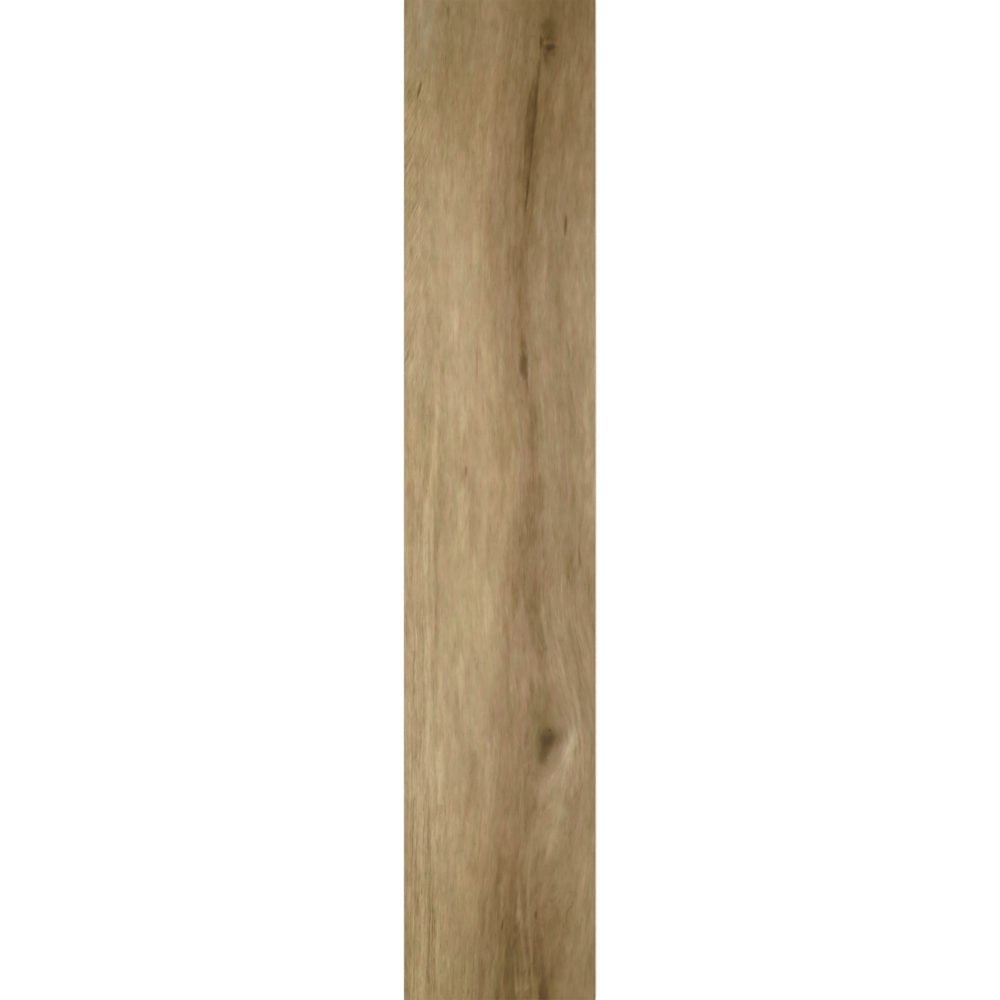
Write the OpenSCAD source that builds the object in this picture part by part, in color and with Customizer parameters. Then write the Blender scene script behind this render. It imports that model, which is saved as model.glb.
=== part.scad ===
// Wood look porcelain plank tile.
// One pressed and fired slab. The four edges are ground square to a true size,
// with a fine arris round the printed face. The back keeps the press's chamfer
// and a lattice of ribs that the bedding adhesive keys into.
// The origin is the middle of the back, the length runs along Y and the face is up.

/* [Plank] */
// Length of the plank
plank_length = 1200; // [600:10:1800]
// Width of the plank
plank_width = 230; // [150:5:300]
// Thickness from the back ribs to the printed face
plank_thickness = 9.5; // [8:0.5:20]

/* [Edges] */
// Width of the arris that is ground at 45 degrees round the printed face
face_arris = 0.6; // [0.3:0.1:1.5]
// How far the pressed chamfer runs in under the back
back_chamfer_in = 1.5; // [0.5:0.1:3]
// How far the pressed chamfer runs up the edge
back_chamfer_up = 1.0; // [0.5:0.1:3]

/* [Back ribs] */
// Least plain border between the edge and the first pocket
border_width = 7; // [4:0.5:15]
// Length of a pocket at its mouth, along the plank
pocket_length = 51; // [20:1:80]
// Width of a pocket at its mouth, across the plank
pocket_width = 24; // [15:1:40]
// Width of the ribs between pockets
rib_width = 3; // [2:0.5:6]
// Depth of the pockets
pocket_depth = 0.6; // [0.3:0.1:1.2]
// Lean of the pocket walls, away from square to the back
wall_draft = 45; // [30:5:60]

/* [Hidden] */

// How far a cutting shape runs past the back
overrun = 0.5;
// Run of a pocket wall over the pocket's depth, and over the overrun
wall_run = pocket_depth * tan(wall_draft);
overrun_run = overrun * tan(wall_draft);

// How many pockets of one size fit between the borders of one span
function pockets_in(span, mouth) = floor((span - 2 * border_width + rib_width) / (mouth + rib_width));

// Outline of the slab cut across one span, with its arrises and chamfers
module slab_section(span) {
    half = span / 2;
    polygon([
        [-half + back_chamfer_in, 0],
        [half - back_chamfer_in, 0],
        [half, back_chamfer_up],
        [half, plank_thickness - face_arris],
        [half - face_arris, plank_thickness],
        [-half + face_arris, plank_thickness],
        [-half, plank_thickness - face_arris],
        [-half, back_chamfer_up]
    ]);
}

// Outline of one pocket cut across its mouth, with both walls leaning in
module pocket_section(mouth) {
    half = mouth / 2;
    polygon([
        [-half - overrun_run, -overrun],
        [half + overrun_run, -overrun],
        [half - wall_run, pocket_depth],
        [-half + wall_run, pocket_depth]
    ]);
}

// A row of pocket outlines, centred on the span that it fills
module pocket_row(span, mouth) {
    count = pockets_in(span, mouth);
    pitch = mouth + rib_width;
    for (i = [0 : count - 1])
        translate([(i - (count - 1) / 2) * pitch, 0])
            pocket_section(mouth);
}

// Carries an outline drawn across the width along the plank
module along_length() {
    rotate([90, 0, 0])
        linear_extrude(height = plank_length, center = true)
            children();
}

// Carries an outline drawn along the length across the plank
module along_width() {
    rotate([90, 0, 90])
        linear_extrude(height = plank_width, center = true)
            children();
}

// The slab, where its two sections meet in mitred corners
module slab() {
    intersection() {
        along_length() slab_section(plank_width);
        along_width() slab_section(plank_length);
    }
}

// Every pocket of the back, where the long grooves cross the short ones
module back_pockets() {
    intersection() {
        along_length() pocket_row(plank_width, pocket_width);
        along_width() pocket_row(plank_length, pocket_length);
    }
}

module plank_tile() {
    color("#A08863")
        difference() {
            slab();
            back_pockets();
        }
}

plank_tile();
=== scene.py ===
import math
import bpy
import numpy as np
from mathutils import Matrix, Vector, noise


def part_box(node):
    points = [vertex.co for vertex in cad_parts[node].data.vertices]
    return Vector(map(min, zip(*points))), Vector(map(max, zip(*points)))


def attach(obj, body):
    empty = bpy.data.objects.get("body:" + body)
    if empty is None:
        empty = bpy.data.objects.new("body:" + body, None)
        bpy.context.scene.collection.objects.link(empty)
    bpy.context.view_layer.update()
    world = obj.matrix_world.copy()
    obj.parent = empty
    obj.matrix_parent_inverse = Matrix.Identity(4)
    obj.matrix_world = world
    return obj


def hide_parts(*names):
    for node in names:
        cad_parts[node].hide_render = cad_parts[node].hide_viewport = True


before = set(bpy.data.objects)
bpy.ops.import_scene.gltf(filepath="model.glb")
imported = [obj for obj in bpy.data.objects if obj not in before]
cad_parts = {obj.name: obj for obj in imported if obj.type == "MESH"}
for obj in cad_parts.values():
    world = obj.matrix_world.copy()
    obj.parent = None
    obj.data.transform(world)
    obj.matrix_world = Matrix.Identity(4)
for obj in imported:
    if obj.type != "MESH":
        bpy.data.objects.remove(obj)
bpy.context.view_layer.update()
low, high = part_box("plank_tile")
print("frame loaded, plank", [round(1000 * side, 1) for side in high - low], "mm")

mm = 0.001

# Sizes of the slab, in metres, that the frame's box doesn't give, and how its mesh is cut and welded
plank = {
    "faceArris": 0.6 * mm,  # ground at 45 degrees round the face
    "backChamferIn": 1.5 * mm,
    "backChamferUp": 1.0 * mm,
    "borderLeast": 7 * mm,  # plain rim round the back pockets
    "pocketWidth": 24 * mm,
    "pocketLength": 51 * mm,
    "pocketDepth": 0.6 * mm,
    "pocketWallRun": 0.6 * mm,  # the walls lean in by their own height
    "ribWidth": 3 * mm,
    "cellsAcrossPocket": 30,  # face cells beside each pocket, for the relief
    "cellsAlongPocket": 14,
    "smoothUnder": math.radians(25),
    "weldWithin": 0.01 * mm,
    "roundingRoom": 1e-6,  # of a pocket, so that an exact fit counts
}


def deselectObjects():
    for item in bpy.context.selected_objects:
        item.select_set(False)


def editMesh(mode):
    bpy.ops.object.mode_set(mode="EDIT")
    bpy.ops.mesh.select_mode(type=mode)


def backToObject():
    bpy.ops.object.mode_set(mode="OBJECT")


def pickRim(piece):
    # Selects the open edges all round a sheet, by counting the faces on each edge
    backToObject()
    mesh = piece.data
    loopEdges = np.empty(len(mesh.loops), np.int32)
    mesh.loops.foreach_get("edge_index", loopEdges)
    faceCount = np.bincount(loopEdges, minlength=len(mesh.edges))
    mesh.polygons.foreach_set("select", np.zeros(len(mesh.polygons), bool))
    mesh.vertices.foreach_set("select", np.zeros(len(mesh.vertices), bool))
    mesh.edges.foreach_set("select", faceCount == 1)
    editMesh("EDGE")


def extrudeRim(piece, widthBefore, lengthBefore, width, length, rise):
    # Pulls the rim out or in to a new outline, and up or down by rise
    pickRim(piece)
    bpy.ops.mesh.extrude_edges_move(TRANSFORM_OT_translate={"value": (0, 0, rise)})
    bpy.ops.transform.resize(
        value=(width / widthBefore, length / lengthBefore, 1),
        center_override=(0, 0, 0),
    )


def addSheet(name, cellsX, cellsY, width, length, height):
    deselectObjects()
    bpy.ops.mesh.primitive_grid_add(
        x_subdivisions=cellsX, y_subdivisions=cellsY, size=1, location=(0, 0, height)
    )
    sheet = bpy.context.active_object
    sheet.name = name
    sheet.scale = (width, length, 1)
    bpy.ops.object.transform_apply(location=True, rotation=True, scale=True)
    return sheet


def pocketsIn(span, mouth):
    room = span - 2 * plank["borderLeast"] + plank["ribWidth"]
    return math.floor(room / (mouth + plank["ribWidth"]) + plank["roundingRoom"])


def modelPlank():
    width, length, thickness = high - low
    arris = plank["faceArris"]
    rib = plank["ribWidth"]
    across = pocketsIn(width, plank["pocketWidth"])
    along = pocketsIn(length, plank["pocketLength"])
    latticeWidth = across * (plank["pocketWidth"] + rib)
    latticeLength = along * (plank["pocketLength"] + rib)
    footWidth = width - 2 * plank["backChamferIn"]
    footLength = length - 2 * plank["backChamferIn"]
    cellsX = across * plank["cellsAcrossPocket"]
    cellsY = along * plank["cellsAlongPocket"]

    # The face, with its arris, its ground edges and the pressed chamfer under them
    face = addSheet("plankTile", cellsX, cellsY, width - 2 * arris, length - 2 * arris, high.z)
    extrudeRim(face, width - 2 * arris, length - 2 * arris, width, length, -arris)
    extrudeRim(face, width, length, width, length, plank["backChamferUp"] - (thickness - arris))
    extrudeRim(face, width, length, footWidth, footLength, -plank["backChamferUp"])
    backToObject()

    # The back, one cell to a pocket, each inset to its ribs and then sunk with leaning walls
    back = addSheet("plankBack", across, along, latticeWidth, latticeLength, low.z)
    editMesh("FACE")
    bpy.ops.mesh.select_all(action="SELECT")
    bpy.ops.mesh.flip_normals()
    bpy.ops.mesh.inset(thickness=rib / 2, use_individual=True, use_even_offset=True)
    bpy.ops.mesh.inset(
        thickness=plank["pocketWallRun"], depth=-plank["pocketDepth"], use_individual=True
    )
    extrudeRim(back, latticeWidth, latticeLength, footWidth, footLength, 0)

    # The rim of the back gets as many points as the face's, so that the two weld
    for axis, cells in (("x", "cellsAcrossPocket"), ("y", "cellsAlongPocket")):
        pickRim(back)
        backToObject()
        for edge in back.data.edges:
            if edge.select:
                start, end = (back.data.vertices[i].co for i in edge.vertices)
                edge.select = abs(getattr(start, axis) - getattr(end, axis)) > rib
        editMesh("EDGE")
        bpy.ops.mesh.subdivide(number_cuts=plank[cells] - 1, ngon=True)
    backToObject()

    deselectObjects()
    back.select_set(True)
    face.select_set(True)
    bpy.context.view_layer.objects.active = face
    bpy.ops.object.join()
    editMesh("VERT")
    bpy.ops.mesh.select_all(action="SELECT")
    bpy.ops.mesh.remove_doubles(threshold=plank["weldWithin"])
    bpy.ops.mesh.normals_make_consistent(inside=False)
    backToObject()
    print("slab modelled,", across, "by", along, "pockets,", len(face.data.polygons), "faces")
    return face


plankTile = modelPlank()


# The wood figure that is printed and pressed on the face, and how the face darkens towards its ends, in
# millimetres from its middle:
# x to the right, y up the plank. Tones are levels of brightness from 0 to 255.
woodFigure = {
    "sapwoodTone": 146.5,
    "heartwoodTone": 125,
    "heartEdge": [(12, 600), (2, 500), (-13, 420), (-17, 310), (-12, 220), (0, 120), (12, 25), (6, -70),
                  (8, -120), (-4, -215), (-12, -310), (-12, -410), (-26, -500), (-30, -600)],
    "heartEdgeEasing": 60,
    "heartEdgeBlur": 4.0,
    "heartEdgeTear": 1.4,
    # Shares of the tone along the plank: the face is darker towards both ends
    "endTones": [(0.84, 600), (0.88, 530), (0.90, 480), (0.94, 430), (0.96, 380), (0.98, 330),
                 (0.99, 290), (1, 240), (1, -320), (0.975, -380), (0.94, -430), (0.91, -480),
                 (0.885, -530), (0.875, -600)],
    "endEasing": 50,
    # How the grain wanders: where, how far to each side, the least share of it elsewhere, its path
    "drifts": [
        (36, 50, 0.3, [(20, 600), (2, 456), (-6, 324), (-9, 228), (-6, 162), (1, 84), (3, 0),
                       (0, -72), (-1, -120), (4, -180), (8, -240), (10, -300), (2, -400),
                       (-8, -500), (-16, -600)]),
        (96, 28, 0.0, [(0, -140), (8, -200), (20, -262), (25, -330), (22, -420), (14, -600)]),
    ],
    "driftEasing": 90,
    # Knots that the grain flows round: x, y, half width, half length, how far it gives way
    "knots": [(58, -287, 12, 22, 0.6), (61, 546, 7, 10, 0.6), (29, 162, 5, 24, 0.7),
              (30, -612, 16, 92, 0.5)],
    # The ray flecks near the left edge lean by this share, lower left to upper right
    "fleckLeans": [(0.3, 600), (0.42, 480), (0.48, 380), (0.46, 260), (0.38, 180), (0.2, 100),
                   (0, 30), (0, -600)],
    "fleckEasing": 60,
    "fleckEdge": -90,
    "fleckEdgeBlur": 7,
    "fleckEnds": (585, 60),
    "fleckFade": 90,
    # Where long fine lines stand out: the left edge under coarseTop, and round each of the spots,
    # as x, y, half width, half length and share
    "coarseEdge": -72,
    "coarseEdgeBlur": 6,
    "coarseTop": 110,
    "coarseFade": 120,
    "coarseSpots": [(76, -185, 26, 80, 0.8), (28, -560, 24, 80, 0.2), (46, 60, 18, 90, 0.4),
                    (30, 420, 14, 120, 0.2)],
    # How busy the fine grain is, and strokes where it's calmer or busier
    "busyShare": 0.74,
    "busyLimits": (0.25, 1.6),
    "busyStrokes": [
        (0.33, 20, [(-106, 740), (-106, -740)]), (0.3, 20, [(-85, 170), (-85, 30)]),
        (0.2, 26, [(-74, -280), (-74, -760)]), (0.3, 50, [(-6, -465), (0, -760)]),
        (0.2, 26, [(-30, 500), (-30, 330)]), (-0.35, 16, [(78, 500), (80, 340)]),
        (-0.25, 14, [(14, -360), (30, -480)]), (-0.3, 22, [(88, -500), (88, -760)]),
        (-0.8, 10, [(12, -480), (12, -760)]), (0.25, 14, [(62, -295), (66, -360)]),
        (-0.4, 20, [(58, -210), (58, -300)]),
    ],
    # How far the fibres tear the sides of a stroke: reach, width and length of the tears
    "tears": [(5.5, 4.5, 80, 3.3), (3.5, 1.8, 34, 8.1)],
    # Soft strokes of shade: levels, half width, and the path from its top down
    "strokes": [
        (-9, 34, [(-42, 640), (-38, 400)]), (-9, 26, [(60, 700), (58, 330)]),
        (-9, 20, [(44, 500), (46, 250)]), (-12, 15, [(34, -220), (34, -410)]),
        (-8, 22, [(44, -430), (44, -700)]), (8, 12, [(104, -380), (106, -580)]),
        (-12, 7.5, [(44, 520), (40, 470), (34, 400), (29, 330)]),
        (-12, 4, [(46, 540), (43.5, 500), (39, 462), (33, 408), (31, 372), (29, 330)]),
        (-15, 1.3, [(51, 590), (48.2, 523), (46.4, 509), (44.2, 480), (40.6, 450), (38.4, 420), (35, 390),
                     (33, 366), (28, 325)]),
        (-8, 10, [(59, 640), (59, 500)]), (-9, 7, [(31, 340), (25, 290), (27, 240), (24, 196)]),
        (-9, 3, [(26, 306), (28, 262), (26, 226), (28, 180)]), (-3, 7, [(13, 300), (14, 180)]),
        (-7, 9, [(33, 150), (36, 110), (38, 60), (40, 30)]),
        (-13, 2.8, [(31, 164), (34, 134), (37, 116), (40, 102), (40, 92), (37, 76), (39.8, 40), (42, 6)]),
        (-6, 4, [(71, 300), (71, 150)]), (-9, 2.2, [(84, 140), (86, 90), (87, 40)]),
        (14, 13, [(110, 360), (112, -60)]), (-12, 13, [(6, -390), (9, -460), (12, -528), (14, -660)]),
        (-10, 13, [(50, -470), (50, -660)]), (-8, 9, [(-28, -480), (-26, -660)]),
        (7, 6, [(94, -240), (91, -285), (85, -302), (79, -320), (71, -344)]),
        (22, 4.8, [(88, -271), (86, -288), (83, -302), (78, -318), (74, -332), (69, -350)]),
        (8, 1.4, [(82, -304), (71, -320), (58, -338), (50, -356)]),
        (6, 1.2, [(88, -306), (78, -330), (71, -356)]),
        (13, 6.5, [(96, -262), (95, -300), (90, -330), (86, -362)]), (7, 13, [(72, -332), (72, -392)]),
        (-7, 4.5, [(54, -308), (53, -346)]),
        (11, 1.6, [(93, -236), (94.8, -262), (94.5, -280), (92, -296)]),
        (9, 1.5, [(83, -230), (87.5, -258), (89, -274), (86, -292), (76, -312), (64, -334)]),
        (12, 12, [(74, -322), (69, -360), (70, -430)]), (-8, 14, [(50, -225), (53, -290), (50, -335)]),
        (19, 2.2, [(-75, 150), (-75, 96), (-79.5, 48), (-84.5, 10), (-87.5, -30), (-88, -60), (-87.2, -100),
                   (-86.4, -156), (-86.4, -340)]),
        (11, 1.6, [(-76, 40), (-82, -40), (-82, -168), (-83, -290)]),
        (-5, 1.2, [(-82, 0), (-85, -72), (-84.5, -168), (-84.5, -260)]),
        (-13, 3.2, [(-73, 40), (-75, -60), (-76, -110), (-77.5, -170), (-78, -260)]),
        (6, 12, [(-50, 320), (-50, 60)]), (5, 14, [(-48, -60), (-48, -260)]),
        (-6, 3.5, [(-32, 60), (-33, -100)]), (9, 2.6, [(-19.5, 20), (-19, -180)]),
        (16, 3.4, [(-15, -96), (-14.5, -164)]), (-11, 4.5, [(-5, 135), (-5, 30)]),
        (-4, 4, [(-3, 30), (-4, -100)]), (-9, 3.5, [(-13, 400), (-11, 260)]),
        (7, 4.5, [(0, 372), (2, 320), (4, 200)]), (-8, 4.5, [(16, 360), (17, 260)]),
        (9, 4.5, [(48, 420), (50, 300), (52, 80)]), (5, 6, [(85, 260), (88, 160)]),
        (-4, 8, [(88, 50), (86, -110)]), (8, 5, [(62, -100), (68, -160), (74, -205), (80, -240)]),
        (-9, 2.2, [(68, -150), (80, -205), (90, -258), (96, -310)]),
        (-8, 1.8, [(80, -140), (92, -200), (100, -260), (104, -330)]),
        (7, 1.6, [(74, -150), (86, -206), (96, -262)]), (10, 2.4, [(-71, -290), (-71, -370)]),
        (-7, 7, [(-36, -250), (-38, -400)]), (-8, 5, [(12, -236), (11, -296)]),
        (-7, 7, [(84, -340), (86, -440)]), (4, 7, [(42, -350), (44, -440)]),
        (5, 8, [(106, -340), (106, -560)]), (6, 5, [(-93, -290), (-93, -680)]),
        (10, 2, [(-93, -310), (-93, -420), (-92.6, -510), (-91, -590), (-91, -680)]),
        (13, 2.2, [(-78, -330), (-78.5, -400), (-78, -460), (-76.5, -500), (-75, -540), (-75, -620)]),
        (13, 4, [(-73, -285), (-73, -365)]),
        (-8, 3.6, [(-84.5, -350), (-85, -420), (-83.5, -500), (-82, -560), (-81.5, -680)]),
        (-9, 1.6, [(-105.5, -345), (-105.5, -440)]), (-8, 3, [(-112, -420), (-112, -680)]),
        (-12, 5, [(-15, -460), (-15, -525)]), (-7, 5, [(-26, -420), (-27, -495)]),
        (-11, 6, [(-59, -545), (-59, -680)]), (6, 6, [(13, -155), (13, -228)]),
        (7, 7, [(98, -155), (100, -230)]), (-6, 6, [(-103, -255), (-103, -322)]),
        (-7, 6, [(88, -62), (88, -134)]), (-6, 6, [(72, -395), (72, -470)]),
        (-9, 6.5, [(57, -398), (56, -474)]), (10, 4, [(46, -334), (46, -370)]),
        (-12, 6, [(34, -328), (30, -402)]), (-8, 5, [(41, -305), (40, -350)]),
        (-6, 5, [(4, -306), (4, -348)]), (-7, 5, [(-1, -546), (-2, -660)]),
        (-6, 6, [(28, -495), (29, -565)]), (-12, 6, [(30, 368), (29, 302)]), (7, 8, [(84, 82), (84, 10)]),
        (14, 3.4, [(-47, -190), (-47, -246)]), (14, 4.4, [(-44, 18), (-44, -30)]),
        (12, 4.2, [(-43, -28), (-43, -58)]), (4, 8, [(-60, -66), (-60, -164)]),
        (-5, 7, [(-65, -60), (-65, -280)]), (-3, 8, [(94, 225), (95, 155)]),
        (-14, 7, [(94, 680), (94, 500)]), (-8, 6, [(66, 474), (66, 396)]),
        (-6, 4, [(50, 560), (49, 500)]), (7, 7, [(7, 565), (7, 495)]), (-5, 24, [(-28, 565), (-28, 500)]),
        (6, 10, [(-58, 185), (-58, 105)]), (12, 4, [(-42, 126), (-40, 72)]),
        (10, 3, [(-30, -60), (-31, -110)]), (10, 2.6, [(-62, -180), (-62, -235)]),
        (9, 4, [(-58, -272), (-58, -300)]), (10, 4, [(-55, 240), (-53, 190)]),
        (9, 3, [(-28, 330), (-28, 270)]), (9, 3, [(-66, 400), (-66, 350)]),
        (6, 8, [(-108, 300), (-108, 110)]), (-7, 14, [(-66, 575), (-62, 440)]),
        (6, 10, [(-92, 660), (-92, 515)]), (-9, 4, [(50, -160), (52, -215)]),
        (-8, 8, [(-28, -285), (-28, -432)]), (-9, 7, [(-48, -530), (-48, -660)]),
        (-8, 6, [(-5, -540), (-6, -660)]), (-9, 6, [(80, -6), (82, -114)]),
        (-12, 5, [(108, -66), (109, -190)]), (-8, 3.6, [(-88, 128), (-86, 90)]),
        (16, 1.4, [(22, -440), (24, -500), (29, -540), (31, -580), (31, -600)]),
        (-12, 3, [(30, -572), (30, -640)]),
        (13, 1.3, [(38, -400), (34, -470), (36, -530), (39, -570), (40, -604)]),
        (10, 1.2, [(22, -440), (22, -520), (25, -570), (26, -680)]),
        (8, 1.2, [(6, -440), (0, -520), (-2, -540)]), (-12, 2.6, [(-3, -524), (-3.6, -560), (-4, -680)]),
        (-12, 1.6, [(31, -440), (30, -500), (34, -545), (37, -580), (38, -680)]),
        (-8, 1.5, [(20, -480), (23, -530), (23, -680)]),
        (-9, 1.8, [(0, -440), (-12, -520), (-18, -560), (-19, -680)]), (-10, 1.4, [(8, -200), (9, -262)]),
        (-8, 1.2, [(10.4, -150), (10.4, -216)]), (-9, 1.5, [(-1, -400), (-3, -520)]),
        (-6, 8, [(101, 366), (101, 296)]), (-7, 7, [(100, 320), (100, 262)]),
        (-6, 8, [(50, 216), (50, 166)]), (6, 5, [(112, 168), (112, 120)]),
        (-5, 6, [(-72, 120), (-72, 72)]), (-6, 8, [(-4, 74), (-4, 22)]), (-6, 4, [(113, 72), (113, 24)]),
        (13, 4.5, [(18, 66), (20, -24)]), (-6, 3.5, [(33, 28), (33, -26)]), (-4, 14, [(0, 24), (0, -24)]),
        (5, 6, [(0, -24), (0, -72)]), (-5, 10, [(50, -68), (50, -122)]),
        (-6, 6, [(28, -134), (29, -222)]), (-8, 4, [(113, -125), (113, -222)]),
        (-5, 9, [(64, -212), (64, -266)]), (-6, 4, [(113, -258), (113, -316)]),
        (-5, 6, [(101, -454), (101, -506)]), (-5, 9, [(21, -500), (21, -552)]),
        (-8, 4, [(7.4, -500), (7.4, -556)]), (13, 1.1, [(17.5, -545), (19.4, -570), (22, -592)]),
        (-9, 3, [(17.5, -576), (18, -640)]), (-8, 2.2, [(38.2, 516), (37.4, 484)]),
        (11, 2.2, [(41.6, 466), (38.5, 416)]), (-5, 4, [(39, 98), (39, 54)]),
        (5, 4, [(33, 134), (33, 94)]),
    ],
    # Bands with torn sides, in the same form
    "bands": [
        (-12, 5.6, [(42, 506), (37, 450), (34, 405)]), (-9, 3.2, [(45.5, 536), (44, 500)]),
        (-6, 8.5, [(17, 306), (17, 178)]), (-6, 8, [(16, 186), (18, 120)]),
        (-17, 10.5, [(42.5, 34), (42, -30)]), (-14, 12.5, [(37, -22), (35, -96)]),
        (-19, 16, [(34, -84), (33, -134)]), (-15, 8, [(34, -118), (44, -152), (48, -190)]),
        (-10, 12, [(47, -216), (50, -258)]), (-9, 15, [(30, -384), (28, -490)]),
        (-7, 12, [(13, -488), (12, -530)]),
        (-19, 6.6, [(14.5, -524), (12, -552), (9.5, -572), (13, -592), (14, -640)]),
        (-10, 9, [(55, -556), (55, -640)]), (-12, 6, [(46, -516), (47, -576)]),
        (-10, 3, [(-22, -540), (-22, -640)]),
    ],
    # Redder strokes and olive ones, in the same form, from -1 to 1
    "redStrokes": [
        (0.8, 12, [(30, 400), (26, 230), (30, 100), (38, 0), (38, -250)]),
        (0.3, 9, [(20, 330), (22, 180)]), (0.5, 12, [(-8, 420), (-4, 200)]),
        (0.5, 10, [(2, -180), (4, -480)]), (0.6, 8, [(-108, 120), (-108, -60)]),
        (-0.3, 14, [(-52, -110), (-52, -260)]), (1.0, 16, [(-14, 520), (-14, 330)]),
        (0.5, 18, [(-18, 270), (-18, -60)]), (0.6, 22, [(64, 500), (66, 380)]),
        (-0.9, 45, [(-90, 760), (-90, 500)]), (0.6, 10, [(11, 540), (11, 410)]),
        (0.4, 16, [(28, -230), (28, -480)]), (-0.6, 14, [(-92, -330), (-94, -480)]),
        (0.5, 14, [(-44, -290), (-44, -430)]), (0.5, 14, [(-16, -350), (-16, -550)]),
        (0.35, 12, [(11, 120), (11, -540)]), (0.3, 12, [(39, -290), (39, -640)]),
        (-0.4, 10, [(66, 110), (66, 0)]), (-0.3, 9, [(96, -360), (96, -660)]),
        (-0.5, 14, [(-88, 640), (-90, 440)]), (-1.9, 6, [(56, -262), (54, -318)]),
        (1.1, 6, [(72, -260), (71, -302)]), (-0.9, 5, [(69, -294), (62, -336)]),
        (0.6, 32, [(34, -440), (34, -660)]), (-0.9, 8, [(12, -510), (12, -660)]),
        (0.8, 3, [(-19, -500), (-19, -600)]), (-1.5, 7, [(91, -240), (87, -285), (80, -314), (64, -344)]),
        (1.4, 6, [(61, 560), (61, 537)]), (-1.2, 6, [(58, 542), (57, 516)]),
        (-1.5, 4, [(46, 562), (46, 522)]), (-0.8, 9, [(56, 600), (52, 552)]),
        (-1.0, 4, [(29.5, 198), (29.5, 132)]), (-0.4, 26, [(-88, -520), (-88, -740)]),
        (-0.35, 26, [(68, 760), (68, 560)]), (-0.35, 10, [(66, -305), (66, -375)]),
        (-0.3, 12, [(-44, -105), (-44, -245)]), (-0.35, 12, [(-62, -360), (-60, -440)]),
    ],
    # Share of grey in the sapwood, how much more in the heartwood, and how much less as the ends darken
    "greyShares": (0.44, 0.40, 4),
    # Greyer strokes and yellower ones
    "greyStrokes": [
        (0.6, 16, [(-92, 680), (-90, 500)]),
        (0.35, 7, [(92, -205), (91, -255), (87, -285), (80, -306), (70, -328), (52, -356)]),
        (1.1, 11, [(57, -258), (54, -325)]), (1.0, 7, [(71, -256), (70, -306)]),
        (0.3, 22, [(62, 620), (64, 230)]), (-0.3, 9, [(-16, 480), (-14, 110)]),
        (-0.3, 10, [(11, 200), (11, 40)]), (-0.3, 10, [(11, -170), (11, -390)]),
        (0.3, 9, [(39, -60), (39, -205)]), (0.5, 9, [(26, 530), (26, 410)]),
        (-0.25, 12, [(-99, 110), (-99, 0)]), (1.6, 3.8, [(29.5, 190), (29.5, 136)]),
        (-1.5, 6, [(61, 566), (61, 537)]), (0.5, 6, [(57, 541), (57, 514)]),
        (-0.15, 45, [(-55, 170), (-55, -240)]), (-0.4, 10, [(10, 140), (12, -190)]),
        (0.75, 110, [(0, 760), (0, 500)]), (0.15, 12, [(-46, 320), (-46, 60)]),
        (-0.3, 16, [(12, -360), (14, -700)]), (-0.9, 9, [(10, -500), (10, -700)]),
        (-0.3, 14, [(56, -500), (56, -700)]), (-2.6, 7, [(52, -560), (52, -700)]),
        (-0.1, 7, [(42, 520), (37, 450), (32, 370)]), (-0.1, 12, [(60, 640), (60, 480)]),
        (-0.35, 20, [(-14, -280), (-14, -510)]), (-0.3, 8, [(11, 570), (11, 400)]),
        (0.25, 26, [(84, 760), (84, 470)]), (0.25, 14, [(-99, 760), (-99, 460)]),
    ],
}

# How strokes are laid, in millimetres. Bands have torn sides in place of soft ones
strokeForm = {
    "easing": 30,
    "fadeShare": 0.25,  # of a stroke's length, at each end
    "longestFade": 60,
    "bandFade": 12,
    "endTear": 4,
    "tornFully": 6,  # the half width from which a stroke's sides tear fully
    "bandTear": 0.4,
    "softPower": 2,
    "bandPower": 6,
}

# Relief that the press leaves on the face, in millimetres: depth, width, length and noise seed
pressedRelief = {
    "fibres": (0.10, 3.2, 70, 21.7),
    "fineLines": (0.04, 1.8, 18, 5.9),
    "waves": (0.08, 26, 240, 14.2),
    "fibreShare": 0.6,
    "coarserShare": 0.8,
    "deepest": 0.28,
    "rimFade": 2.5,
    "faceWithin": 0.1,
}

# Places along the plank, in millimetres, at which the given lines are worked out
stationStep = 2.0
stations = np.arange(-700.0, 701.0, stationStep)


def easedLine(points, reach):
    # A smooth line of value against y through given points, eased over reach
    ordered = sorted(points, key=lambda point: point[1])
    values = np.interp(stations, [point[1] for point in ordered], [point[0] for point in ordered])
    window = np.hanning(int(reach / stationStep) + 3)
    window /= window.sum()
    padded = np.pad(values, len(window) // 2, mode="edge")
    values = np.convolve(padded, window, "same")[len(window) // 2:][:len(stations)]
    return lambda y: np.interp(y, stations, values)


def smoothStep(value):
    value = np.clip(value, 0, 1)
    return value * value * (3 - 2 * value)


def fibreNoise(across, along, width, length, seed):
    # Noise drawn out along the grain, about -0.5 to 0.5
    return np.array([
        noise.noise((a / width, b / length, seed))
        for a, b in zip(across.tolist(), along.tolist())
    ])


def stroked(x, y, ragged, strokes, band=False):
    # The sum of strokes, torn along the fibres, each faded out at its two ends
    form = strokeForm
    power = form["bandPower"] if band else form["softPower"]
    tornY = y + form["endTear"] * ragged
    total = np.zeros_like(x)
    for amount, halfWidth, path in strokes:
        centre = easedLine(path, form["easing"])(y)
        top, bottom = path[0][1], path[-1][1]
        fade = form["bandFade"] if band else min(form["fadeShare"] * (top - bottom), form["longestFade"])
        ends = smoothStep((top - tornY) / fade) * smoothStep((tornY - bottom) / fade)
        torn = form["bandTear"] if band else min(1, halfWidth / form["tornFully"])
        away = np.abs(x + torn * ragged - centre) / halfWidth
        total += amount * ends * np.exp(-0.5 * away ** power)
    return total


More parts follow.
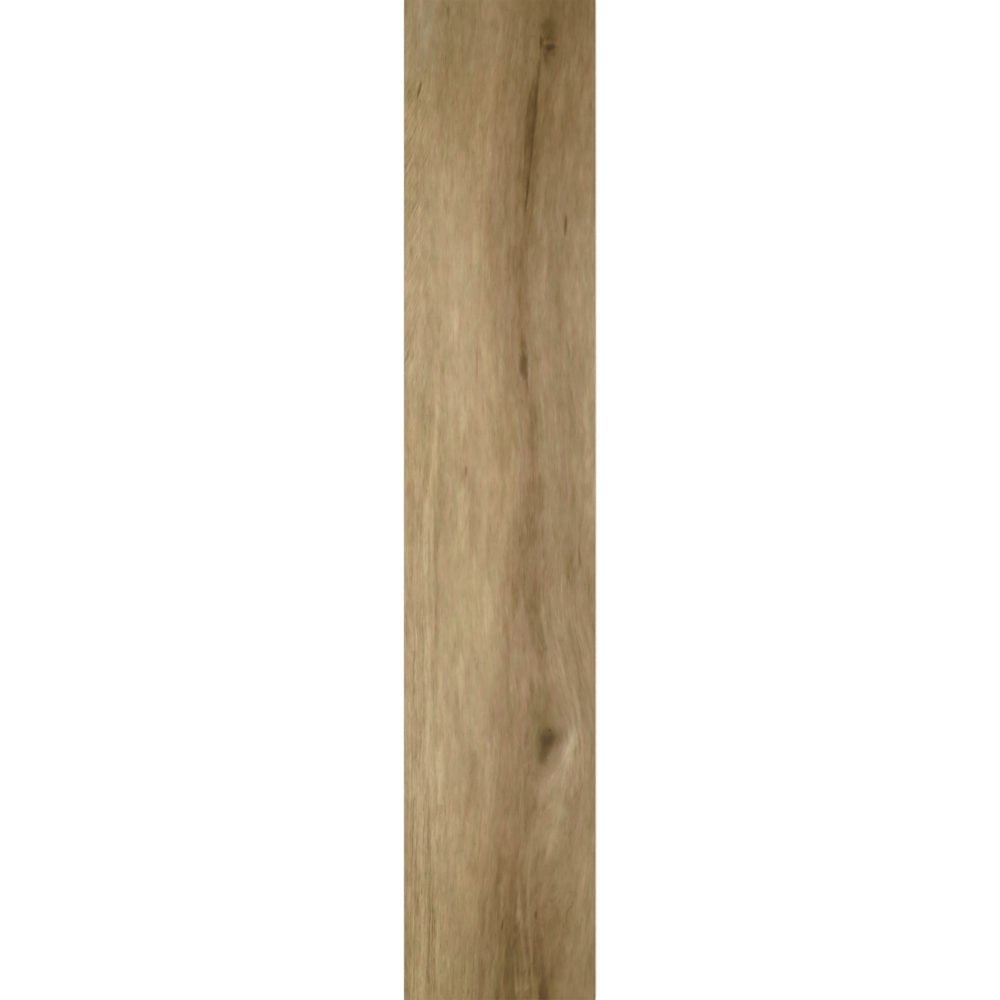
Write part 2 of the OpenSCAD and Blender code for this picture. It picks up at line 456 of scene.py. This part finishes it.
def grainAcross(x, y):
    # Which grain line a point lies on: lines of one value run along the wood
    line = x.copy()
    for centre, reach, least, path in woodFigure["drifts"]:
        near = np.exp(-0.5 * ((x - centre) / reach) ** 2)
        line -= easedLine(path, woodFigure["driftEasing"])(y) * (least + (1 - least) * near)
    for knotX, knotY, halfWidth, halfLength, give in woodFigure["knots"]:
        dx = x - knotX
        reach2 = (dx / halfWidth) ** 2 + ((y - knotY) / halfLength) ** 2
        line = line - give * dx / np.maximum(reach2, 1)
    return line


def fleckAcross(x, y):
    # The same for the leaning ray flecks at the left edge
    leans = easedLine(woodFigure["fleckLeans"], woodFigure["fleckEasing"])(stations)
    return x - np.interp(y, stations, np.cumsum(leans) * stationStep)


def drawFigure(x, y):
    # All that the print and the relief need to know at each point of the face
    figure = woodFigure
    line = grainAcross(x, y)
    ragged = sum(
        reach * fibreNoise(line, y, width, length, seed)
        for reach, width, length, seed in figure["tears"]
    )
    fromEdge = x + figure["heartEdgeTear"] * ragged
    fromEdge = fromEdge - easedLine(figure["heartEdge"], figure["heartEdgeEasing"])(y)
    heart = 1 / (1 + np.exp(-fromEdge / figure["heartEdgeBlur"]))
    endTone = easedLine(figure["endTones"], figure["endEasing"])(y)
    tone = figure["sapwoodTone"] + (figure["heartwoodTone"] - figure["sapwoodTone"]) * heart
    # The face darker towards both ends of the plank
    tone = tone * endTone
    tone = tone + stroked(x, y, ragged, figure["strokes"])
    tone = tone + stroked(x, y, ragged, figure["bands"], band=True)
    red = stroked(x, y, ragged, figure["redStrokes"])
    flecks = 1 / (1 + np.exp((x - figure["fleckEdge"]) / figure["fleckEdgeBlur"]))
    top, bottom = figure["fleckEnds"]
    fade = figure["fleckFade"]
    flecks = flecks * smoothStep((top - y) / fade) * smoothStep((y - bottom) / fade)
    coarse = 1 / (1 + np.exp((x - figure["coarseEdge"]) / figure["coarseEdgeBlur"]))
    coarse = coarse * smoothStep((figure["coarseTop"] - y) / figure["coarseFade"])
    for spotX, spotY, halfWidth, halfLength, share in figure["coarseSpots"]:
        away2 = ((x - spotX) / halfWidth) ** 2 + ((y - spotY) / halfLength) ** 2
        coarse = coarse + share * np.exp(-0.5 * away2)
    busy = figure["busyShare"] + stroked(x, y, ragged, figure["busyStrokes"])
    least, heartMore, endsLess = figure["greyShares"]
    grey = least + heartMore * heart - endsLess * (1 - endTone)
    grey = grey + stroked(x, y, ragged, figure["greyStrokes"])
    return {
        "grainAcross": line * mm,
        "fleckAcross": fleckAcross(x, y) * mm,
        "tone": tone / 255,
        "greyShare": grey,
        "redShare": red,
        "fleckShare": flecks,
        "coarseShare": coarse,
        "busyShare": np.clip(busy, *figure["busyLimits"]),
    }


def pressRelief(piece):
    # Sinks the points of the face along the grain, and keeps what the print reads at each point
    mesh = piece.data
    places = np.empty(len(mesh.vertices) * 3)
    mesh.vertices.foreach_get("co", places)
    places = places.reshape(-1, 3)
    x, y = places[:, 0] / mm, places[:, 1] / mm
    figure = drawFigure(x, y)
    for name, values in figure.items():
        attribute = mesh.attributes.new(name, "FLOAT", "POINT")
        attribute.data.foreach_set("value", values.astype(np.float32))

    relief = pressedRelief
    line = figure["grainAcross"] / mm

    def pressed(kind):
        most, width, length, seed = relief[kind]
        return most * (0.5 + fibreNoise(line, y, width, length, seed))

    depth = pressed("fibres") * (relief["fibreShare"] + relief["coarserShare"] * figure["coarseShare"])
    depth = depth + pressed("fineLines") + pressed("waves")
    fromRim = np.minimum((high.x - low.x) / mm / 2 - np.abs(x), (high.y - low.y) / mm / 2 - np.abs(y))
    rim = smoothStep((fromRim - plank["faceArris"] / mm) / relief["rimFade"])
    onFace = places[:, 2] > high.z - relief["faceWithin"] * mm
    places[:, 2] -= np.where(onFace, np.clip(depth, 0, relief["deepest"]) * rim * mm, 0)
    mesh.vertices.foreach_set("co", places.ravel())
    mesh.update()
    print("face pressed, relief down to", round(float((high.z - places[onFace, 2].min()) / mm), 3), "mm")


# Most of the bake map goes to the face, because the back and the edges are plain
bakeMap = {
    "face": (0.0, 0.70),
    "back": (0.71, 0.93),
    "edges": (0.94, 1.0),
    "stripMargin": 0.15,  # beside each of the four strips of edges, of a strip's room
    "stripShare": 0.7,
    "levelNormal": 0.3,
    "sideNormal": 0.5,
}


def layBakeMap(piece):
    mesh = piece.data
    width, length, thickness = high - low
    count = len(mesh.loops)
    vertexOf = np.empty(count, np.int32)
    mesh.loops.foreach_get("vertex_index", vertexOf)
    places = np.empty(len(mesh.vertices) * 3)
    mesh.vertices.foreach_get("co", places)
    places = places.reshape(-1, 3)[vertexOf]
    normals = np.empty(len(mesh.polygons) * 3)
    mesh.polygons.foreach_get("normal", normals)
    sizes = np.empty(len(mesh.polygons), np.int32)
    mesh.polygons.foreach_get("loop_total", sizes)
    normals = np.repeat(normals.reshape(-1, 3), sizes, axis=0)
    alongX = (places[:, 0] - low.x) / width
    alongY = (places[:, 1] - low.y) / length
    rise = (places[:, 2] - low.z) / thickness

    def within(share, value):
        start, end = bakeMap[share]
        return start + (end - start) * value

    u, v = within("face", alongX), alongY
    u = np.where(normals[:, 2] < -bakeMap["levelNormal"], within("back", 1 - alongX), u)
    upright = np.abs(normals[:, 2]) <= bakeMap["levelNormal"]
    # Four strips side by side: the two long edges, then the two ends
    for strip, (axis, way) in enumerate(((0, 1), (0, -1), (1, 1), (1, -1))):
        here = upright & (way * normals[:, axis] > bakeMap["sideNormal"])
        inStrip = bakeMap["stripMargin"] + bakeMap["stripShare"] * rise
        u = np.where(here, within("edges", (strip + inStrip) / 4), u)
        v = np.where(here & (strip > 1), alongX, v)
    layer = mesh.uv_layers.new(name="OFBake")
    layer.uv.foreach_set("vector", np.stack([u, v], 1).astype(np.float32).ravel())


pressRelief(plankTile)
layBakeMap(plankTile)
deselectObjects()
plankTile.select_set(True)
bpy.context.view_layer.objects.active = plankTile
bpy.ops.object.shade_smooth_by_angle(angle=plank["smoothUnder"])


def linearOf(level):
    share = level / 255
    return share / 12.92 if share <= 0.04045 else ((share + 0.055) / 1.055) ** 2.4


def colourOf(red, green, blue):
    return (linearOf(red), linearOf(green), linearOf(blue), 1)


def addNode(tree, kind, values=None, **settings):
    # Adds a node, sets its own settings, and fills or wires its inputs by name or number
    node = tree.nodes.new(kind)
    for name, value in settings.items():
        setattr(node, name, value)
    for name, value in (values or {}).items():
        if isinstance(value, bpy.types.NodeSocket):
            tree.links.new(value, node.inputs[name])
        else:
            node.inputs[name].default_value = value
    return node


def calc(tree, operation, *values):
    node = addNode(tree, "ShaderNodeMath", dict(enumerate(values)), operation=operation)
    return node.outputs[0]


def addGroup(name, inputs, output, outputKind="NodeSocketFloat"):
    group = bpy.data.node_groups.new(name, "ShaderNodeTree")
    for label, kind, value in inputs:
        socket = group.interface.new_socket(label, in_out="INPUT", socket_type=kind)
        if value is not None:
            socket.default_value = value
    group.interface.new_socket(output, in_out="OUTPUT", socket_type=outputKind)
    return group, group.nodes.new("NodeGroupInput").outputs, group.nodes.new("NodeGroupOutput").inputs[0]


def useGroup(tree, group, values):
    return addNode(tree, "ShaderNodeGroup", values, node_tree=group).outputs[0]


def mixed(tree, share, first, second, **settings):
    # Two colours mixed by share, through the colour sockets of the node
    colours = {0: share, 6: first, 7: second}
    return addNode(tree, "ShaderNodeMix", colours, data_type="RGBA", **settings).outputs[2]


def newMaterial(name):
    material = bpy.data.materials.new(name)
    material.use_nodes = True
    return material, material.node_tree, material.node_tree.nodes["Principled BSDF"]


number = "NodeSocketFloat"


def grainNoise(group, given, detail, roughness):
    # Noise drawn out along the grain, by the width and length that the group is given
    across = calc(group, "DIVIDE", given["Across"], given["Width"])
    along = calc(group, "DIVIDE", given["Along"], given["Length"])
    place = addNode(group, "ShaderNodeCombineXYZ", {"X": across, "Y": along, "Z": given["Seed"]})
    return addNode(group, "ShaderNodeTexNoise", {
        "Vector": place.outputs[0], "Scale": 1.0, "Detail": detail, "Roughness": roughness,
    }).outputs["Fac"]


def makeGrainStreaks():
    # Noise drawn out along the grain, centred on 0 with a spread of about 1
    group, given, result = addGroup("grainStreaks", [
        ("Across", number, None), ("Along", number, None),
        ("Width", number, 3 * mm), ("Length", number, 40 * mm), ("Seed", number, 0.0),
    ], "Value")
    centred = calc(group, "SUBTRACT", grainNoise(group, given, 2.0, 0.5), 0.5)
    group.links.new(calc(group, "MULTIPLY", centred, 8.0), result)
    return group


def makeGrainTicks():
    # Short pores and flecks scattered along the grain: 1 in each, 0 between them
    group, given, result = addGroup("grainTicks", [
        ("Across", number, None), ("Along", number, None),
        ("Width", number, 1.5 * mm), ("Length", number, 15 * mm),
        ("Least", number, 0.64), ("Seed", number, 0.0),
    ], "Mask")
    mask = addNode(group, "ShaderNodeMapRange", {
        "Value": grainNoise(group, given, 1.0, 0.4), "From Min": given["Least"],
        "From Max": calc(group, "ADD", given["Least"], 0.09), "To Min": 0.0, "To Max": 1.0,
    }, interpolation_type="SMOOTHSTEP")
    group.links.new(mask.outputs[0], result)
    return group


def makeSpindleMark():
    # A knot, check or pore mark: 1 in its core and 0 outside, an ellipse that can lean
    group, given, result = addGroup("spindleMark", [
        ("Across", number, None), ("Along", number, None), ("Centre Across", number, 0.0),
        ("Centre Along", number, 0.0), ("Half Width", number, 1 * mm),
        ("Half Length", number, 5 * mm), ("Lean", number, 0.0), ("Softness", number, 0.5),
    ], "Mask")
    up = calc(group, "SUBTRACT", given["Along"], given["Centre Along"])
    side = calc(group, "SUBTRACT", given["Across"], given["Centre Across"])
    side = calc(group, "SUBTRACT", side, calc(group, "MULTIPLY", up, given["Lean"]))
    side = calc(group, "DIVIDE", side, given["Half Width"])
    up = calc(group, "DIVIDE", up, given["Half Length"])
    reach = calc(group, "ADD", calc(group, "MULTIPLY", side, side), calc(group, "MULTIPLY", up, up))
    reach = calc(group, "SQRT", reach)
    inner = calc(group, "SUBTRACT", 1.0, given["Softness"])
    outer = calc(group, "ADD", 1.0, given["Softness"])
    mask = addNode(group, "ShaderNodeMapRange", {
        "Value": reach, "From Min": inner, "From Max": outer, "To Min": 1.0, "To Max": 0.0,
    }, interpolation_type="SMOOTHSTEP")
    group.links.new(mask.outputs[0], result)
    return group


def makeFiredSpeckle():
    # Specks and fine pits of fired clay, about -1 to 1
    group, given, result = addGroup("firedSpeckle", [
        ("Position", "NodeSocketVector", None), ("Size", number, 1 * mm),
    ], "Value")
    place = addNode(group, "ShaderNodeVectorMath", {0: given["Position"]}, operation="SCALE")
    group.links.new(calc(group, "DIVIDE", 1.0, given["Size"]), place.inputs["Scale"])
    specks = addNode(group, "ShaderNodeTexNoise", {
        "Vector": place.outputs[0], "Scale": 1.0, "Detail": 3.0, "Roughness": 0.65,
    })
    centred = calc(group, "SUBTRACT", specks.outputs["Fac"], 0.5)
    group.links.new(calc(group, "MULTIPLY", centred, 4.0), result)
    return group


# The glazed print. Widths, lengths and places are in millimetres, and tones in levels
facePrint = {
    # Inks by their tone, from the darkest mark to the palest line
    "inks": [
        (45, (70, 48, 6)), (75, (106, 78, 29)), (100, (130, 104, 58)), (130, (160, 134, 95)),
        (155, (185, 160, 121)), (180, (209, 186, 148)), (210, (236, 215, 183)),
    ],
    # The grain lines waver: reach, width, length and noise seed
    "waver": (0.9, 9, 42, 5.0),
    # Streaks: width, length, levels, and how many levels more where the grain is coarse
    "streaks": [
        (20, 120, 3.2, 0), (8, 50, 4.4, 0), (4.4, 18, 3.2, 0.6), (3.4, 130, 1.4, 3.0),
        (2.1, 9, 1.4, 0.8), (1.7, 90, 0.6, 5.0), (0.9, 6, 0.3, 0.6), (0.42, 8, 2.0, 0.8),
    ],
    # Pores and flecks: width, length, least of the noise that counts, levels
    "ticks": [
        (1.8, 11, 0.645, -10), (2.6, 24, 0.66, -10), (3.2, 17, 0.66, 9), (1.6, 10, 0.66, 8),
        (0.55, 4.5, 0.66, -16),
    ],
    "fibreUnder": 4,  # the width under which a streak counts as a fibre
    # Patches of smooth and busy wood: width, length, noise seed and swing
    "patches": (18, 70, 63.0, 0.4),
    "leastBusy": 0.25,
    # Ray flecks: width, length, noise seed and levels
    "flecks": (1.8, 30, 71.0, 8.5),
    # Marks: x, y, half width, half length, lean, softness, levels
    "marks": [
        (57.0, -285.5, 7.8, 11.5, 0.3, 0.5, -21), (51.0, -284, 4.2, 10, 0, 0.7, -10),
        (56.0, -296, 6.6, 15, 0.3, 0.5, -22), (55.5, -275, 3.6, 4, 0, 0.6, -9),
        (53.5, -309, 3.8, 10, 0.1, 0.6, -13), (54.0, -286, 17, 22, 0.15, 0.8, -13),
        (69.0, -286, 7.5, 11, 0.3, 0.8, -18), (60.0, -276, 1.7, 1.7, 0, 0.5, -26),
        (60.2, 543.0, 6.8, 4.1, 0, 0.55, -37), (61.5, 536, 4.6, 4, 0, 0.7, -17),
        (60.0, 551.5, 7.0, 3.6, 0, 0.7, -10), (56.5, 534, 3.6, 8.5, 0, 0.7, -20),
        (58.8, 564, 7.8, 13, 0, 0.5, -22), (49.8, 548.5, 2.2, 6.5, 0, 0.5, -25),
        (46.4, 534, 1.8, 6, 0, 0.6, 14), (55.5, 525, 5.0, 9, 0, 0.8, -9),
        (38.7, 422, 1.0, 27, 0.09, 0.6, -12), (33.2, 370, 1.0, 22, 0.12, 0.6, -20),
        (33.4, 351, 1.0, 3.5, 0.3, 0.6, 10), (78.8, 329, 1.5, 11, 0.05, 0.6, -34),
        (29.0, 163, 5.4, 26, 0, 0.6, -9), (29.0, 160.5, 4.8, 14, 0, 0.55, -30),
        (28.8, 181, 4.2, 14, 0, 0.8, -18), (32.0, 142, 2.6, 8, -0.2, 0.7, -9),
        (-96.3, 492, 1.4, 9.0, 0.25, 0.6, -46), (-88.6, 514, 1.0, 3.0, 0.3, 0.6, -20),
        (-27.2, 168, 1.2, 26, 0, 0.7, -17), (-40.6, 34, 1.2, 5.5, 0, 0.6, -30),
        (95.5, -67, 1.4, 12, -0.1, 0.6, -18), (43.2, -497, 1.8, 4.5, 0, 0.6, -20),
        (52.0, -602, 5.6, 28, 0, 0.4, -19), (48.6, -595, 2.6, 16, 0, 0.5, -13),
        (50.0, -568, 7.0, 12, 0.15, 0.6, -5), (3.0, -509, 1.0, 5.5, 0.15, 0.6, -22),
        (19.0, -514, 3.0, 5, 0, 0.6, -10), (98.0, -344, 1.0, 5, 0.3, 0.6, -16),
        (92.0, -352, 1.0, 5, 0.3, 0.6, -14), (80.0, -350, 1.0, 5, 0.35, 0.6, -12),
    ],
    # Fraying of the marks from this half width up: width, length and noise seed of both, and reach
    "frayFrom": 2,
    "frays": [(1.4, 9, 33.0), (4, 11, 36.0)],
    "raggedness": 0.55,
    # Patches of hue: width, length, noise seed and share
    "redPatches": [(14, 60, 50.0, 0.55), (5.5, 26, 54.0, 0.5)],
    "greyPatches": [(22, 100, 57.0, 0.07), (7, 34, 60.0, 0.08)],
    "redReach": 2.0,
    "oliveTint": (0.94, 1.035, 0.98, 1),
    "redTint": (1.06, 0.965, 1.02, 1),
    "yellowTint": (0.995, 1.0, 0.9, 1),
    "greyTint": (1.0, 1.0, 1.08, 1),
    # The glaze, and what a level of the fibres and a pit do to it
    "glossLevel": 0.3,
    "roughness": 0.55,
    "levelRoughness": -0.008,
    "pitRoughness": 0.05,
    "pitSize": 0.8,
    "pitLevels": 0.6,
    "bumpStrength": 0.5,
    "fibreHeight": 0.035 * mm,
    "fibreLevels": 4,
}


def makeFaceMaterial(streakGroup, tickGroup, markGroup, speckleGroup):
    look = facePrint
    material, tree, shader = newMaterial("glazedWoodPrint")

    def drawn(name):
        return addNode(tree, "ShaderNodeAttribute", attribute_name=name).outputs["Fac"]

    def streaks(across, width, length, seed):
        return useGroup(tree, streakGroup, {
            "Across": across, "Along": y, "Width": width * mm, "Length": length * mm, "Seed": seed,
        })

    def patched(share, patches):
        for width, length, seed, amount in patches:
            share = calc(tree, "MULTIPLY_ADD", streaks(across, width, length, seed), amount, share)
        return share

    position = addNode(tree, "ShaderNodeTexCoord").outputs["Object"]
    split = addNode(tree, "ShaderNodeSeparateXYZ", {0: position})
    x, y = split.outputs["X"], split.outputs["Y"]
    coarse = drawn("coarseShare")
    reach, width, length, seed = look["waver"]
    waver = streaks(drawn("grainAcross"), width, length, seed)
    across = calc(tree, "MULTIPLY_ADD", waver, reach * mm, drawn("grainAcross"))

    # The wood is smooth in some places and busy in others
    width, length, seed, swing = look["patches"]
    busy = calc(tree, "MULTIPLY_ADD", streaks(across, width, length, seed), swing, 1.0)
    busy = calc(tree, "MULTIPLY", calc(tree, "MAXIMUM", busy, look["leastBusy"]), drawn("busyShare"))

    # Tone: what was drawn for each point of the face, with streaks of several widths over it
    tone = calc(tree, "MULTIPLY", drawn("tone"), 255.0)
    fibres = None
    for turn, (width, length, levels, coarser) in enumerate(look["streaks"]):
        value = streaks(across, width, length, 11.3 * (turn + 1))
        strength = calc(tree, "MULTIPLY_ADD", coarse, float(coarser), float(levels))
        if width < look["fibreUnder"]:
            strength = calc(tree, "MULTIPLY", strength, busy)
        value = calc(tree, "MULTIPLY", value, strength)
        tone = calc(tree, "ADD", tone, value)
        if width < look["fibreUnder"]:
            fibres = value if fibres is None else calc(tree, "ADD", fibres, value)
    for turn, (width, length, least, levels) in enumerate(look["ticks"]):
        ticks = useGroup(tree, tickGroup, {
            "Across": across, "Along": y, "Width": width * mm, "Length": length * mm,
            "Least": least, "Seed": 90 + 7.7 * turn,
        })
        ticks = calc(tree, "MULTIPLY", ticks, drawn("busyShare"))
        tone = calc(tree, "MULTIPLY_ADD", ticks, float(levels), tone)
        fibres = calc(tree, "MULTIPLY_ADD", ticks, float(levels), fibres)
    width, length, seed, levels = look["flecks"]
    flecks = streaks(drawn("fleckAcross"), width, length, seed)
    flecks = calc(tree, "MULTIPLY", calc(tree, "MULTIPLY", flecks, drawn("fleckShare")), levels)
    flecks = calc(tree, "MULTIPLY", flecks, busy)
    tone = calc(tree, "ADD", tone, flecks)
    fibres = calc(tree, "ADD", fibres, flecks)

    # Marks, with edges that fray along the fibres
    fray = calc(tree, "ADD", *(streaks(x, *form) for form in look["frays"]))
    frayed = calc(tree, "MULTIPLY_ADD", fray, look["raggedness"] * mm, x)
    for markX, markY, halfWidth, halfLength, lean, softness, levels in look["marks"]:
        mark = useGroup(tree, markGroup, {
            "Across": frayed if halfWidth > look["frayFrom"] else x, "Along": y, "Centre Across": markX * mm,
            "Centre Along": markY * mm, "Half Width": halfWidth * mm,
            "Half Length": halfLength * mm, "Lean": lean, "Softness": softness,
        })
        tone = calc(tree, "MULTIPLY_ADD", mark, float(levels), tone)

    inks = addNode(tree, "ShaderNodeValToRGB", {"Fac": calc(tree, "DIVIDE", tone, 255.0)})
    ramp = inks.color_ramp
    while len(ramp.elements) > 1:
        ramp.elements.remove(ramp.elements[0])
    for turn, (level, ink) in enumerate(look["inks"]):
        stop = ramp.elements[0] if turn == 0 else ramp.elements.new(level / 255)
        stop.position = level / 255
        stop.color = colourOf(*ink)

    # Hue: redder and more olive patches and fibres, and less yellow in the heartwood
    red = addNode(tree, "ShaderNodeMapRange", {
        "Value": patched(drawn("redShare"), look["redPatches"]), "From Min": -look["redReach"],
        "From Max": look["redReach"], "To Min": 0.0, "To Max": 1.0,
    }).outputs[0]
    redder = mixed(tree, red, look["oliveTint"], look["redTint"])
    grey = patched(drawn("greyShare"), look["greyPatches"])
    greyer = mixed(tree, grey, look["yellowTint"], look["greyTint"], clamp_factor=False)
    colour = inks.outputs["Color"]
    for tint in (redder, greyer):
        colour = mixed(tree, 1.0, colour, tint, blend_type="MULTIPLY")
    tree.links.new(colour, shader.inputs["Base Color"])

    # A matt glaze, a little glossier between the fibres
    shader.inputs["Specular IOR Level"].default_value = look["glossLevel"]
    rough = calc(tree, "MULTIPLY_ADD", fibres, look["levelRoughness"], look["roughness"])
    pits = useGroup(tree, speckleGroup, {"Position": position, "Size": look["pitSize"] * mm})
    rough = calc(tree, "MULTIPLY_ADD", pits, look["pitRoughness"], rough)
    tree.links.new(rough, shader.inputs["Roughness"])
    height = calc(tree, "MULTIPLY_ADD", pits, look["pitLevels"], fibres)
    bump = addNode(tree, "ShaderNodeBump", {
        "Height": height, "Strength": look["bumpStrength"],
        "Distance": look["fibreHeight"] / look["fibreLevels"],
    })
    tree.links.new(bump.outputs[0], shader.inputs["Normal"])
    return material


# The bare clay body, on the ground edges and the pressed back. Colours are 0 to 255
clayBody = {
    "edgeColour": (193, 174, 146),
    "backColour": (186, 168, 142),
    "speckColour": (150, 128, 100),
    "kilnWash": (222, 214, 200),
    "edgeRoughness": 0.72,
    "backRoughness": 0.85,
    "speckRoughness": 0.06,
    # Size of the specks and the clouds, and how far each swings the share of the speck's colour
    "speckShare": 0.3,
    "specks": (1.1 * mm, 0.25),
    "clouds": (28 * mm, 0.12),
    # Kiln wash: the heights that it fades between, its size, swing and share
    "washHeights": (0.1 * mm, 0.4 * mm),
    "wash": (6 * mm, 0.5, 0.35),
    # Grinding lines: width, length, noise seed and share
    "grind": (0.5 * mm, 60 * mm, 4.0, 0.5),
    "bumpStrength": 0.5,
    "bumpHeight": 0.06 * mm,
    # Which way a printed face and an edge look at least, and how high an edge's middle is
    "faceNormal": 0.9,
    "edgeNormal": -0.3,
    "edgeHeight": 0.9 * mm,
}


def makeBodyMaterial(name, colour, roughness, speckleGroup, streakGroup, washed):
    clay = clayBody
    material, tree, shader = newMaterial(name)
    position = addNode(tree, "ShaderNodeTexCoord").outputs["Object"]
    split = addNode(tree, "ShaderNodeSeparateXYZ", {0: position})
    speckSize, speckSwing = clay["specks"]
    cloudSize, cloudSwing = clay["clouds"]
    specks = useGroup(tree, speckleGroup, {"Position": position, "Size": speckSize})
    clouds = useGroup(tree, speckleGroup, {"Position": position, "Size": cloudSize})
    share = calc(tree, "MULTIPLY_ADD", specks, speckSwing, clay["speckShare"])
    share = calc(tree, "MULTIPLY_ADD", clouds, cloudSwing, share)
    body = mixed(tree, share, colourOf(*colour), colourOf(*clay["speckColour"]))
    if washed:
        # White kiln wash that the rollers leave on the rib tops
        size, swing, share = clay["wash"]
        patchy = useGroup(tree, speckleGroup, {"Position": position, "Size": size})
        fadeFrom, fadeTo = clay["washHeights"]
        onRibs = addNode(tree, "ShaderNodeMapRange", {
            "Value": split.outputs["Z"], "From Min": fadeFrom, "From Max": fadeTo,
            "To Min": 1.0, "To Max": 0.0,
        }).outputs[0]
        wash = calc(tree, "MULTIPLY", onRibs, calc(tree, "MULTIPLY_ADD", patchy, swing, share))
        body = mixed(tree, wash, body, colourOf(*clay["kilnWash"]))
    tree.links.new(body, shader.inputs["Base Color"])
    rough = calc(tree, "MULTIPLY_ADD", specks, clay["speckRoughness"], roughness)
    tree.links.new(rough, shader.inputs["Roughness"])
    height = specks
    if not washed:
        width, length, seed, share = clay["grind"]
        grind = useGroup(tree, streakGroup, {
            "Across": split.outputs["Z"], "Width": width, "Length": length, "Seed": seed,
            "Along": calc(tree, "ADD", split.outputs["X"], split.outputs["Y"]),
        })
        height = calc(tree, "MULTIPLY_ADD", grind, share, specks)
    bump = addNode(tree, "ShaderNodeBump", {
        "Height": height, "Strength": clay["bumpStrength"], "Distance": clay["bumpHeight"],
    })
    tree.links.new(bump.outputs[0], shader.inputs["Normal"])
    return material


def finishPlank(piece):
    streakGroup = makeGrainStreaks()
    tickGroup = makeGrainTicks()
    markGroup = makeSpindleMark()
    speckleGroup = makeFiredSpeckle()
    piece.data.materials.clear()
    piece.data.materials.append(makeFaceMaterial(streakGroup, tickGroup, markGroup, speckleGroup))
    piece.data.materials.append(makeBodyMaterial(
        "groundEdge", clayBody["edgeColour"], clayBody["edgeRoughness"],
        speckleGroup, streakGroup, False,
    ))
    piece.data.materials.append(makeBodyMaterial(
        "pressedBack", clayBody["backColour"], clayBody["backRoughness"],
        speckleGroup, streakGroup, True,
    ))
    for face in piece.data.polygons:
        if face.normal.z > clayBody["faceNormal"]:
            face.material_index = 0
        elif face.normal.z > clayBody["edgeNormal"] and face.center.z > low.z + clayBody["edgeHeight"]:
            face.material_index = 1
        else:
            face.material_index = 2
    print("materials made:", [slot.name for slot in piece.data.materials])


finishPlank(plankTile)
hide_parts("plank_tile")
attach(plankTile, "root")

# Light, floor and camera
studio = {
    "fillStrength": 0.565,
    "sunStrength": 1.60,
    "sunDirection": (math.radians(32), math.radians(-7), 0),
    "sunSpread": math.radians(28),
    "floorSize": 14.0,
    "floorDrop": 0.1 * mm,  # under the ribs
    "floorTone": 0.92,
    "floorLift": 0.25,
    "cameraAside": 0.27 * mm,
    "endsCropped": 0.3 * mm,  # of the face, at each end
    "lens": 100.0,
    "sensor": 36.0,
}


def setStudio():
    deselectObjects()
    floorHeight = low.z - studio["floorDrop"]
    bpy.ops.mesh.primitive_plane_add(size=studio["floorSize"], location=(0, 0, floorHeight))
    floor = bpy.context.active_object
    floor.name = "studioFloor"
    paper = bpy.data.materials.new("whitePaper")
    paper.use_nodes = True
    tree = paper.node_tree
    tree.nodes.clear()
    white = studio["floorTone"]
    matt = addNode(tree, "ShaderNodeBsdfDiffuse", {"Color": (white, white, white, 1)})
    seen = addNode(tree, "ShaderNodeLightPath").outputs["Is Camera Ray"]
    glow = addNode(tree, "ShaderNodeEmission", {
        "Strength": calc(tree, "MULTIPLY", seen, studio["floorLift"]),
    })
    both = addNode(tree, "ShaderNodeAddShader", {0: matt.outputs[0], 1: glow.outputs[0]})
    addNode(tree, "ShaderNodeOutputMaterial", {"Surface": both.outputs[0]})
    floor.data.materials.append(paper)

    world = bpy.data.worlds.new("studioWorld")
    bpy.context.scene.world = world
    world.use_nodes = True
    tree = world.node_tree
    sky = tree.nodes["Background"]
    sky.inputs["Color"].default_value = (1, 1, 1, 1)
    seen = addNode(tree, "ShaderNodeLightPath").outputs["Is Camera Ray"]
    fill = studio["fillStrength"]
    tree.links.new(calc(tree, "MULTIPLY_ADD", seen, 1.0 - fill, fill), sky.inputs["Strength"])

    bpy.ops.object.light_add(type="SUN", location=(-1, 1, 2), rotation=studio["sunDirection"])
    sun = bpy.context.active_object
    sun.name = "softSun"
    sun.data.energy = studio["sunStrength"]
    sun.data.angle = studio["sunSpread"]

    # The lens looks straight down, and the face of the plank fills the frame from end to end
    seenLength = high.y - low.y - 2 * plank["faceArris"] - 2 * studio["endsCropped"]
    distance = seenLength * studio["lens"] / studio["sensor"]
    bpy.ops.object.camera_add(location=(studio["cameraAside"], 0, high.z + distance), rotation=(0, 0, 0))
    camera = bpy.context.active_object
    camera.name = "overheadCamera"
    camera.data.lens = studio["lens"]
    camera.data.sensor_width = studio["sensor"]
    bpy.context.scene.camera = camera
    bpy.context.scene.view_settings.view_transform = "Standard"
    print("studio set, camera", round(distance, 3), "m above the face")


setStudio()
